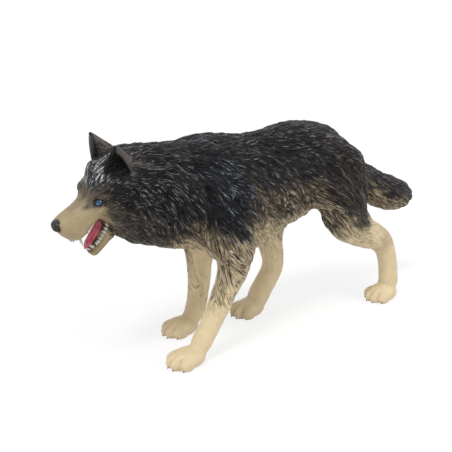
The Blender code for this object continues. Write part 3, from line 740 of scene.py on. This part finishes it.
def carved(skin):
    """Raises the coat out of the skin, and finds the values that its paint follows."""
    points = read_points(skin.data, "co") / MM
    points = touched(points, head_frame(), HEAD_TOUCHES)
    points = touched(points, Matrix.Translation(DRAWN_AT), BODY_TOUCHES)
    for x, y in TOES_AT.values():
        points = touched(points, Matrix.Translation(DRAWN_AT + Vector((x, y, 0))), TOE_GROOVES)
    points = points - np.array(DRAWN_AT)
    normals = read_points(skin.data, "normal")
    run, depth = combed(points, normals)
    field = hair_field(points, run)
    clump, chosen, clumps = locks(points, normals, run, **CLUMPS)
    lock, _, _ = locks(points, normals, run, **LOCKS)
    broad = streaks(points, field, *BROAD_HAIRS)
    fine = streaks(points, field, *FINE_HAIRS)
    hair = 0.6 * (1 - (1 - broad) ** 2) + 0.4 * (1 - (1 - fine) ** 2)
    lift = CLUMP_LIFT * clump + LOCK_LIFT * lock + HAIR_LIFT * hair - COAT_SUNK
    relief = 0.2 * clump + 0.3 * lock + 0.5 * hair
    coat = smoothstep(0.0, 1.0, depth) * 0.4 + depth * 0.6
    points = points + normals * (lift * coat)[:, None]
    points = points + run * (coat * CLUMP_LEAN * (clump - 0.4))[:, None]
    low = np.array(solid_low) / MM - np.array(DRAWN_AT)
    high = np.array(solid_high) / MM - np.array(DRAWN_AT)
    points = np.clip(points, low, high)
    # Each hair takes its paint from where it is rooted, so that the borders of the colours are ragged
    roots = points - run * ((2 * broad - 1) * 2.2 * (0.25 + depth))[:, None]
    depth = np.maximum(depth, 0.35 * ear_shares(points, normals)[1])
    facts = {"relief": relief, "depth": depth}
    skin.data.vertices.foreach_set("co", ((points + np.array(DRAWN_AT)) * MM).ravel())
    skin.data.update()
    return points, normals, roots, facts, (chosen, clumps)


def linear(colour):
    """A colour of 0 to 255 as light."""
    share = np.array(colour, float) / 255
    return np.where(share <= 0.04045, share / 12.92, ((share + 0.055) / 1.055) ** 2.4)


def ear_shares(points, normals):
    """How far each point lies on an ear, and how far inside it."""
    whole = np.zeros(len(points))
    inside = np.zeros(len(points))
    for side in (-1, 1):
        place = ear_frame(side)
        height, behind = EARS[side][1:3]
        local = within(points + np.array(DRAWN_AT), place)
        facing = normals @ np.array(place.col[0].xyz)
        rise = local[:, 2] / height
        reach = EAR_HALF_WIDTH * (1 - np.clip(rise, 0, 1) ** 2.2)
        back = behind * (1 - np.clip(rise, 0, 1)) + 0.9
        near = (abs(local[:, 1]) < reach + 0.7) & (local[:, 0] > -back) & (rise < 1.15)
        near = near * (1 - smoothstep(0.9, 1.7, local[:, 0]))
        whole = np.maximum(whole, smoothstep(0.15, 0.4, rise) * near)
        front = local[:, 1] * side < 0
        share = smoothstep(0.0, 0.4, facing + 0.4 * front) * smoothstep(0.0, 0.12, rise) * near
        edge = np.where(front, -1.0, 1.0)
        share *= smoothstep(edge, edge + 0.6, reach - abs(local[:, 1]))
        inside = np.maximum(inside, share)
    return whole, inside


def paint_row(name):
    """A paint as one row: its colours for wash and painted shade, coat, and dry brush and painted
    highlights, as light, and how much the brush and highlights caught.
    """
    wash, coat, brushed_and_highlight, caught = PAINTS[name]
    return np.array([*linear(wash), *linear(coat), *linear(brushed_and_highlight), caught])


def painted(points, normals, roots):
    """The colours for wash and painted shade, coat, and dry brush and painted highlights at each point,
    and how much the brush and highlights caught.
    """
    weights = coat_weights(roots, PAINT_SHARPNESS)
    mixed = weights @ np.array([paint_row(name) for *_, name in COAT])
    local = within(points + np.array(DRAWN_AT), head_frame())
    for (forward, aside, up), reach, name in HEAD_PATCHES:
        for side in (-1, 1) if aside else (1,):
            offset = (local - (forward, side * aside, up)) / reach
            share = smoothstep(0.0, 0.45, 1 - (offset**2).sum(1))[:, None]
            mixed = mixed * (1 - share) + paint_row(name) * share
    for name, share in zip(("ear", "ear_inside"), ear_shares(points, normals)):
        mixed = mixed * (1 - share[:, None]) + paint_row(name) * share[:, None]
    return mixed[:, 0:3], mixed[:, 3:6], mixed[:, 6:9], mixed[:, 9]


def drop_crumbs(mesh):
    """Takes away the loose crumbs that the fusing left, so that one closed skin is there."""
    bm = bmesh.new()
    bm.from_mesh(mesh)
    left = set(bm.verts)
    crumbs = []
    while left:
        island = [left.pop()]
        for vert in island:
            for edge in vert.link_edges:
                other = edge.other_vert(vert)
                if other in left:
                    left.remove(other)
                    island.append(other)
        if len(island) < CRUMB_POINTS:
            crumbs.extend(island)
    bmesh.ops.delete(bm, geom=crumbs, context="VERTS")
    bm.to_mesh(mesh)
    bm.free()


def thinned(skin, points, facts, colours, strands):
    """The skin in fewer faces, its paint values handed on from the nearest old point."""
    faces = sum(len(polygon.vertices) - 2 for polygon in skin.data.polygons)
    collapse = skin.modifiers.new("thin", "DECIMATE")
    collapse.ratio = min(1.0, SKIN_TRIANGLES / faces)
    collapse.use_collapse_triangulate = True
    skin.vertex_groups.clear()
    settle(skin)
    drop_crumbs(skin.data)
    tree = kdtree.KDTree(len(points))
    for i, point in enumerate(points):
        tree.insert(point, i)
    tree.balance()
    kept = np.clip(read_points(skin.data, "co"), solid_low, solid_high)
    skin.data.vertices.foreach_set("co", kept.ravel())
    skin.data.update()
    kept = kept / MM - np.array(DRAWN_AT)
    nearest = np.array([tree.find(point)[1] for point in kept])
    for name, values in facts.items():
        layer = skin.data.attributes.new(name, "FLOAT", "POINT")
        layer.data.foreach_set("value", np.ascontiguousarray(values[nearest], np.float32))
    for name, values in colours.items():
        layer = skin.data.attributes.new(name, "FLOAT_COLOR", "POINT")
        rows = np.ones((len(nearest), 4), np.float32)
        rows[:, :3] = values[nearest]
        layer.data.foreach_set("color", rows.ravel())
    chosen, (roots, ways, across, own) = strands
    corners = np.array([tuple(polygon.vertices) for polygon in skin.data.polygons])
    first = chosen[nearest[corners[:, 0]]]
    second = chosen[nearest[corners[:, 1]]]
    lock = np.where(second == chosen[nearest[corners[:, 2]]], second, first)[:, None]
    offset = kept[corners] - roots[lock]
    place = np.stack([(offset * ways[lock]).sum(2), (offset * across[lock]).sum(2)], 2)
    place = np.concatenate([place, np.broadcast_to(own[lock][..., None], (*corners.shape, 1))], 2)
    layer = skin.data.attributes.new("hair_place", "FLOAT_VECTOR", "CORNER")
    layer.data.foreach_set("vector", np.ascontiguousarray(place, np.float32).ravel())


class Paint:
    """A node material: its nodes are made and joined with short calls."""

    def __init__(self, name, roughness):
        self.material = bpy.data.materials.new(name)
        self.material.use_nodes = True
        self.tree = self.material.node_tree
        self.shader = self.tree.nodes["Principled BSDF"]
        self.shader.inputs["Roughness"].default_value = roughness

    def put(self, socket, value):
        if isinstance(value, bpy.types.NodeSocket):
            self.tree.links.new(value, socket)
        else:
            socket.default_value = value

    def attribute(self, name, output="Fac"):
        node = self.tree.nodes.new("ShaderNodeAttribute")
        node.attribute_name = name
        return node.outputs[output]

    def place(self):
        return self.tree.nodes.new("ShaderNodeTexCoord").outputs["Object"]

    def noise(self, size, detail=2.0, vector=None):
        node = self.tree.nodes.new("ShaderNodeTexNoise")
        node.inputs["Scale"].default_value = 1 / (size * MM)
        node.inputs["Detail"].default_value = detail
        self.put(node.inputs["Vector"], vector or self.place())
        return node.outputs["Fac"]

    def math(self, kind, *values):
        node = self.tree.nodes.new("ShaderNodeMath")
        node.operation = kind
        for number, value in enumerate(values):
            self.put(node.inputs[number], value)
        return node.outputs[0]

    def weighed(self, *parts):
        """The sum of the parts, each times its share."""
        total = 0.0
        for value, share in parts:
            total = self.math("MULTIPLY_ADD", value, share, total)
        return total

    def between(self, value, low, high, bottom=0.0, top=1.0):
        node = self.tree.nodes.new("ShaderNodeMapRange")
        node.interpolation_type = "SMOOTHSTEP"
        for number, entry in enumerate((value, low, high, bottom, top)):
            self.put(node.inputs[number], entry)
        return node.outputs[0]

    def mix(self, share, first, second, kind="MIX"):
        node = self.tree.nodes.new("ShaderNodeMix")
        node.data_type = "RGBA"
        node.blend_type = kind
        self.put(node.inputs["Factor"], share)
        self.put(node.inputs["A"], first)
        self.put(node.inputs["B"], second)
        return node.outputs["Result"]

    def bump(self, height, distance, strength=1.0):
        node = self.tree.nodes.new("ShaderNodeBump")
        node.inputs["Distance"].default_value = distance * MM
        node.inputs["Strength"].default_value = strength
        self.put(node.inputs["Height"], height)
        self.put(self.shader.inputs["Normal"], node.outputs["Normal"])

    def strands(self):
        """Two patterns of thin hairs, drawn out along the locks: the hairs, and finer ones in them."""
        parts = self.tree.nodes.new("ShaderNodeSeparateXYZ")
        self.put(parts.inputs[0], self.attribute("hair_place", "Vector"))
        along, aside, own = parts.outputs
        wave_length, wave_width, swing = HAIR_WAVE
        wave = self.drawn(along, wave_length, aside, wave_width, own)
        aside = self.math("MULTIPLY_ADD", self.math("SUBTRACT", wave, 0.5), swing, aside)
        hairs = []
        for length, width, shift in PAINTED_HAIRS:
            drawn = self.drawn(along, length, aside, width, self.math("ADD", own, shift))
            hairs.append(self.between(drawn, 0.32, 0.68))
        return hairs

    def drawn(self, along, length, aside, width, own):
        """Random values that change over a length along the lock and a width across it."""
        spot = self.tree.nodes.new("ShaderNodeCombineXYZ")
        self.put(spot.inputs[0], self.math("DIVIDE", along, length))
        self.put(spot.inputs[1], self.math("DIVIDE", aside, width))
        self.put(spot.inputs[2], own)
        node = self.tree.nodes.new("ShaderNodeTexNoise")
        node.inputs["Scale"].default_value = 1.0
        node.inputs["Detail"].default_value = 1.0
        self.put(node.inputs["Vector"], spot.outputs[0])
        return node.outputs["Fac"]

    def colour(self, socket):
        self.put(self.shader.inputs["Base Color"], socket)


def tint(colour):
    return (*linear(colour), 1.0)


def coat_paint():
    """Sprayed and washed paint on the carved coat, with wash and painted shade in the grooves and the
    ridges caught by a dry brush and painted highlights.
    """
    paint = Paint("painted_coat", 0.5)
    hairy = paint.between(paint.attribute("depth"), 0.05, 0.5)
    strand, finest = paint.strands()
    grain = paint.noise(0.3)
    level = paint.weighed((paint.attribute("relief"), 0.32), (strand, 0.45), (finest, 0.23))
    level = paint.math("MULTIPLY_ADD", paint.math("SUBTRACT", level, BARE_LEVEL), hairy, BARE_LEVEL)
    # The groove colour is wash and painted shade, the ridge colour dry brush and painted highlights
    groove, coat, ridge = (
        paint.attribute(name, "Color") for name in ("wash_and_shade_colour", "coat_colour", "brush_and_highlight_colour")
    )
    colour = paint.mix(paint.between(level, *WASH_AND_SHADE_LEVELS), groove, coat)
    # From this level up the ridges take the dry brush and painted highlights
    caught = paint.math("MULTIPLY_ADD", paint.attribute("brush"), -BRUSH_HIGHLIGHT_LOAD, BRUSH_HIGHLIGHT_LEVEL)
    dry = paint.between(level, caught, paint.math("ADD", caught, BRUSH_HIGHLIGHT_EDGE))
    dry = paint.math("MULTIPLY", dry, paint.between(grain, 0.35, 0.6, 0.4, 1.0))
    colour = paint.mix(dry, colour, ridge)
    mottle = paint.between(paint.noise(2.5, 4.0), 0.3, 0.7, 0.0, 0.22)
    colour = paint.mix(mottle, colour, paint.mix(1.0, colour, tint((205, 200, 195)), "MULTIPLY"))
    paint.colour(colour)
    paint.put(paint.shader.inputs["Roughness"], paint.between(level, 0.2, 0.8, 0.55, 0.36))
    height = paint.math("MULTIPLY", paint.weighed((finest, 0.4), (strand, 1.0)), hairy)
    paint.bump(paint.weighed((height, 1.0), (grain, 0.06)), 0.28)
    paint.shader.inputs["Specular IOR Level"].default_value = 0.22
    return paint.material


def patchy_paint(name, roughness, patches, tones, grain):
    """Paint in two tones that pass into one another, with a fine grain. The patches have a size, a
    detail and the levels they pass between, and the grain a size, a detail and a height."""
    paint = Paint(name, roughness)
    size, detail, low, high = patches
    first, second = tones
    paint.colour(paint.mix(paint.between(paint.noise(size, detail), low, high), tint(first), tint(second)))
    size, detail, height = grain
    paint.bump(paint.noise(size, detail), height)
    return paint.material


def wolf_skin():
    skin = bare_skin()
    points, normals, roots, facts, strands = carved(skin)
    # Wash and painted shade for the grooves, dry brush and painted highlights for the ridges
    groove, coat, ridge, facts["brush"] = painted(points, normals, roots)
    colours = {"wash_and_shade_colour": groove, "coat_colour": coat, "brush_and_highlight_colour": ridge}
    thinned(skin, points, facts, colours, strands)
    skin.data.materials.clear()
    skin.data.shade_smooth()
    finished(skin, coat_paint())
    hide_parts("wolf")


# The face


def row_at(table, step):
    """The row of a table at a step between its own rows."""
    return [float(np.interp(step, range(len(table)), column)) for column in zip(*table)]


def up_from(table):
    """The way straight up from the line that the jaw's or the tongue's rows run along."""
    slope = Vector((table[-1][0] - table[0][0], 0, table[-1][1] - table[0][1])).normalized()
    return Vector((-slope.z, 0, slope.x))


def on_jaw(step, across, rise):
    """A place on the lower jaw in the head's frame: how far along, across and up, in its own sizes."""
    forward, up, half_width, half_depth = row_at(JAW, step)
    return Vector((forward, across * half_width, up)) + up_from(JAW) * (rise * half_depth)


def add_tooth(bm, root, way, length, radius):
    """A pointed tooth, in the head's frame, that leans the way it is given."""
    head = head_frame()
    turn = (head.to_3x3() @ Vector(way)).to_track_quat("Z", "Y").to_matrix().to_4x4()
    sunk = Matrix.Translation((0, 0, length / 2 - TOOTH_SUNK))
    place = Matrix.Translation(head @ Vector(root)) @ turn @ sunk
    cone = bmesh.ops.create_cone(
        bm,
        cap_ends=True,
        segments=12,
        radius1=radius,
        radius2=radius * TOOTH_TIP,
        depth=length,
    )["verts"]
    edges = {edge for vert in cone for edge in vert.link_edges}
    long_edges = [edge for edge in edges if edge.calc_length() > length * 0.9]
    bmesh.ops.subdivide_edges(bm, edges=long_edges, cuts=3)
    for vert in [vert for vert in bm.verts if not vert.tag]:
        swell = 1 + TOOTH_SWELL * math.sin(math.pi * (vert.co.z / length + 0.5))
        vert.co.x *= swell
        vert.co.y *= swell
        vert.co = place @ vert.co
        vert.tag = True


def ground(tree, start, way):
    """Where a line from start, in the head's frame, first meets the moulding from outside."""
    head = head_frame()
    turned = head.to_3x3() @ way
    hit, normal, _, far = tree.ray_cast(head @ start * MM, turned)
    if hit is None or normal.dot(turned) > 0 or far > GROUND_REACH * MM:
        return start + way * GROUND_CLEAR
    return head.inverted() @ (hit / MM)


def teeth():
    """The teeth of both jaws, each one rooted on the moulding."""
    bm = bmesh.new()
    bm.from_mesh(frame["nodes"]["wolf"].data)
    tree = BVHTree.FromBMesh(bm)
    bm.clear()
    for side in (-1, 1):
        for forward, aside, up, length, radius in UPPER_TEETH:
            root = ground(tree, Vector((forward, side * aside, up - UPPER_START)), Vector((0, 0, 1)))
            add_tooth(bm, root, (0.05, 0, -1), length, radius)
        for step, across, length, radius in LOWER_TEETH:
            way = up_from(JAW)
            root = ground(tree, on_jaw(step, side * across, 1.0) + way * GROUND_CLEAR, -way)
            add_tooth(bm, root, way, length, radius)
    made = object_of(bm, "teeth")
    ivory = ((190, 187, 188), (150, 141, 136))
    finished(made, patchy_paint("tooth_enamel", 0.3, (0.8, 3.0, 0.35, 0.7), ivory, (0.3, 2.0, 0.03)))


def tongue_ring(row, left):
    """A section of the tongue, rounded off where little of its length is left."""
    forward, up, half_width, half_depth = row
    head = head_frame()
    way = up_from(TONGUE)
    shrink = math.sqrt(max(1 - max(1 - left, 0) ** 2, 0.02))

    def place(across, rise):
        groove = 0.35 * math.exp(-((across / 0.22) ** 2)) if rise > 0 else 0
        lift = (rise * (1 + 0.15 * abs(across)) - groove) * half_depth * shrink + TONGUE_LIFT
        return head @ (Vector((forward, across * half_width * shrink + TONGUE_ASIDE, up)) + way * lift)

    return place


def tongue():
    """The tongue, with the groove along its middle."""
    bm = bmesh.new()
    rows = [row_at(TONGUE, step) for step in np.linspace(0, len(TONGUE) - 1, TONGUE_RINGS)]
    rings = [tongue_ring(row, (TONGUE_RINGS - 1 - number) / 4) for number, row in enumerate(rows)]
    add_rings(bm, 24, rings)
    made = object_of(bm, "tongue")
    pink = ((214, 98, 120), (180, 62, 82))
    finished(made, patchy_paint("tongue_paint", 0.35, (1.4, 3.0, 0.35, 0.65), pink, (0.25, 2.0, 0.06)))


def nose():
    """The nose leather, with its nostrils and the groove between them."""
    bm = bmesh.new()
    add_ball(bm, Vector((0, 0, 0)), NOSE_RADII, sides=54)
    points = touched(np.array([vert.co for vert in bm.verts]), Matrix.Identity(4), NOSE_TOUCHES)
    for vert, point in zip(bm.verts, points):
        vert.co = point
    bmesh.ops.transform(bm, matrix=head_frame() @ Matrix.Translation(NOSE_AT), verts=bm.verts)
    made = object_of(bm, "nose_leather")
    leather = ((14, 11, 11), (33, 27, 26))
    finished(made, patchy_paint("nose_paint", 0.4, (0.9, 3.0, 0.35, 0.7), leather, (0.22, 1.0, 0.05)))


def eye_frame(side):
    """The eye's own frame: its width, its height, and out of the head."""
    out = Vector((EYE_OUT[0], side * EYE_OUT[1], EYE_OUT[2])).normalized()
    along = Vector((EYE_ALONG[0], side * EYE_ALONG[1], EYE_ALONG[2]))
    height = out.cross(along).normalized() * -side
    width = height.cross(out).normalized()
    turn = Matrix((width, height, out)).transposed().to_4x4()
    forward, aside, up = EYE_AT[side]
    return head_frame() @ Matrix.Translation((forward, side * aside, up)) @ turn


def eye_paint():
    """A blue iris round a dark pupil, dark again towards the corners, under a clear gloss."""
    paint = Paint("eye_enamel", 0.12)
    from_middle = paint.attribute("from_middle")
    iris = paint.mix(paint.between(paint.noise(0.3), 0.35, 0.65), tint((3, 58, 112)), tint((18, 124, 186)))
    colour = paint.mix(paint.between(from_middle, 0.26, 0.36), tint((5, 7, 14)), iris)
    colour = paint.mix(paint.between(from_middle, 0.66, 0.82), colour, tint((10, 14, 24)))
    paint.colour(colour)
    paint.shader.inputs["Coat Weight"].default_value = 0.5
    return paint.material


def eyeball(side, name):
    """A flattened ball that carries how far each point lies from the middle of its iris."""
    bm = bmesh.new()
    add_ball(bm, Vector((0, 0, 0)), (1.0, 1.0, 1.0), sides=36)
    from_middle = []
    for vert in bm.verts:
        apart = math.hypot(vert.co.x - IRIS_AT[0], vert.co.y - IRIS_AT[1])
        from_middle.append(apart if vert.co.z > 0 else 1.0)
    bmesh.ops.scale(bm, vec=EYE_RADII, verts=bm.verts)
    bmesh.ops.transform(bm, matrix=eye_frame(side), verts=bm.verts)
    made = object_of(bm, name)
    layer = made.data.attributes.new("from_middle", "FLOAT", "POINT")
    layer.data.foreach_set("value", from_middle)
    return made


def lid_ring(lift, angle):
    """A section of an eyelid's rim, the upper one (1) or the thinner lower one (-1)."""
    middle = Vector((-LID_HALF_WIDTH * math.cos(angle), lift * LID_HEIGHT * math.sin(angle) ** 0.8, 0.05))
    middle.z += 0.3 * math.sin(angle)
    middle.y -= 0.15 * math.cos(angle)
    thick = (0.09 + 0.13 * math.sin(angle)) * (1.0 if lift > 0 else 0.6)

    def place(across, aside):
        return middle + Vector((0, aside, -across)) * thick

    return place


def eyelids(side, name):
    """The rims of both lids, which meet in the corners of the eye."""
    bm = bmesh.new()
    steps = 18
    for lift in (1, -1):
        add_rings(bm, 10, [lid_ring(lift, math.pi * step / steps) for step in range(steps + 1)])
    bmesh.ops.transform(bm, matrix=eye_frame(side), verts=bm.verts)
    return object_of(bm, name)


def eyes():
    iris_paint = eye_paint()
    dark = ((18, 16, 17), (34, 30, 30))
    lid_paint = patchy_paint("eyelid_paint", 0.45, (0.5, 2.0, 0.4, 0.6), dark, (0.3, 2.0, 0.04))
    for side, name in ((-1, "left"), (1, "right")):
        finished(eyeball(side, "eye_" + name), iris_paint)
        finished(eyelids(side, "eyelids_" + name), lid_paint)


def claws():
    """A short claw on every toe, bent down and drawn to a point, that ends above the ground."""
    bm = bmesh.new()
    half_length = CLAW_RADII[0]
    for paw in TOES_AT:
        for toe, splay in toe_places(paw):
            middle = toe + splay.to_3x3() @ Vector(CLAW_AT)
            lean = splay @ Matrix.Rotation(math.radians(CLAW_LEAN), 4, "Y")
            claw = add_ball(bm, middle, CLAW_RADII, lean, sides=18)
            place = Matrix.Translation(middle) @ lean
            inward = place.inverted()
            for vert in claw:
                local = inward @ vert.co
                slim = 0.75 + 0.3 * local.x / half_length
                bend = 0.12 * (local.x / half_length) ** 2
                vert.co = place @ Vector((local.x, local.y * slim, local.z * slim - bend))
                vert.co.z = max(vert.co.z, CLAW_CLEAR)
    made = object_of(bm, "claws")
    horn = ((58, 46, 36), (96, 78, 58))
    finished(made, patchy_paint("claw_paint", 0.4, (0.7, 3.0, 0.35, 0.7), horn, (0.25, 2.0, 0.03)))


# The view and the light

VIEW_ANGLE = (-38.0, 17.0)
VIEW_DISTANCE = 231.3
VIEW_LENS = 71.68
VIEW_TARGET = Vector((-10.32, 0.0, 30.65))
WORLD_LIGHT = 0.7
FLOOR_COLOUR = (0.9, 0.9, 0.9, 1)
FLOOR_GLOW = 0.75


def way_to(turn, rise):
    """The way from the wolf to a viewer or a lamp, so far round from its left side and so far up."""
    turn = math.radians(turn)
    rise = math.radians(rise)
    return Vector((math.sin(turn) * math.cos(rise), -math.cos(turn) * math.cos(rise), math.sin(rise)))


def aimed(name, data, way):
    """The camera or a lamp as an object that looks back along the way to it."""
    made = bpy.data.objects.new(name, data)
    made.rotation_euler = (-way).to_track_quat("-Z", "Y").to_euler()
    bpy.context.scene.collection.objects.link(made)
    return made


def camera():
    lens = bpy.data.cameras.new("view")
    lens.lens = VIEW_LENS
    lens.sensor_width = 36.0
    lens.clip_start = 0.01
    lens.clip_end = 50.0
    way = way_to(*VIEW_ANGLE)
    eye = aimed("view", lens, way)
    eye.location = (VIEW_TARGET + way * VIEW_DISTANCE) * MM
    bpy.context.scene.camera = eye


def sun(name, turn, rise, strength, softness):
    lamp = bpy.data.lights.new(name, "SUN")
    lamp.energy = strength
    lamp.angle = math.radians(softness)
    aimed(name, lamp, way_to(turn, rise))


def seen_directly(tree):
    """1 for what the camera sees itself or in a reflection, 0 for the light that falls on the wolf."""
    path = tree.nodes.new("ShaderNodeLightPath")
    seen = path.outputs["Is Camera Ray"]
    for ray in ("Is Glossy Ray", "Is Transmission Ray"):
        either = tree.nodes.new("ShaderNodeMath")
        either.operation = "MAXIMUM"
        tree.links.new(seen, either.inputs[0])
        tree.links.new(path.outputs[ray], either.inputs[1])
        seen = either.outputs[0]
    return seen


def world():
    """Even light from all round, in front of a white background."""
    made = bpy.data.worlds.new("studio")
    made.use_nodes = True
    bpy.context.scene.world = made
    tree = made.node_tree
    light = tree.nodes["Background"]
    light.inputs["Color"].default_value = (1, 1, 1, 1)
    strength = tree.nodes.new("ShaderNodeMapRange")
    strength.inputs["To Min"].default_value = WORLD_LIGHT
    strength.inputs["To Max"].default_value = 1.0
    tree.links.new(seen_directly(tree), strength.inputs["Value"])
    tree.links.new(strength.outputs["Result"], light.inputs["Strength"])


def floor():
    """A plain pale floor that fades into the background and keeps the wolf's shadow."""
    bm = bmesh.new()
    bmesh.ops.create_grid(bm, x_segments=1, y_segments=1, size=4000.0)
    made = object_of(bm, "floor")
    material = bpy.data.materials.new("pale_floor")
    material.use_nodes = True
    tree = material.node_tree
    plain = tree.nodes["Principled BSDF"]
    plain.inputs["Base Color"].default_value = FLOOR_COLOUR
    plain.inputs["Roughness"].default_value = 1.0
    plain.inputs["Specular IOR Level"].default_value = 0.0
    glow = tree.nodes.new("ShaderNodeEmission")
    glow.inputs["Strength"].default_value = 1.0
    share = tree.nodes.new("ShaderNodeMath")
    share.operation = "MULTIPLY"
    share.inputs[1].default_value = FLOOR_GLOW
    blend = tree.nodes.new("ShaderNodeMixShader")
    tree.links.new(seen_directly(tree), share.inputs[0])
    tree.links.new(share.outputs[0], blend.inputs[0])
    tree.links.new(plain.outputs[0], blend.inputs[1])
    tree.links.new(glow.outputs[0], blend.inputs[2])
    tree.links.new(blend.outputs[0], tree.nodes["Material Output"].inputs["Surface"])
    made.data.materials.append(material)


def studio():
    """Soft light from all round and above, on a plain pale floor."""
    world()
    sun("key", -60, 55, 1.6, 14)
    sun("fill", 30, 40, 0.8, 60)
    floor()


bpy.context.scene.view_settings.view_transform = "Standard"
wolf_skin()
nose()
eyes()
tongue()
teeth()
claws()
camera()
studio()
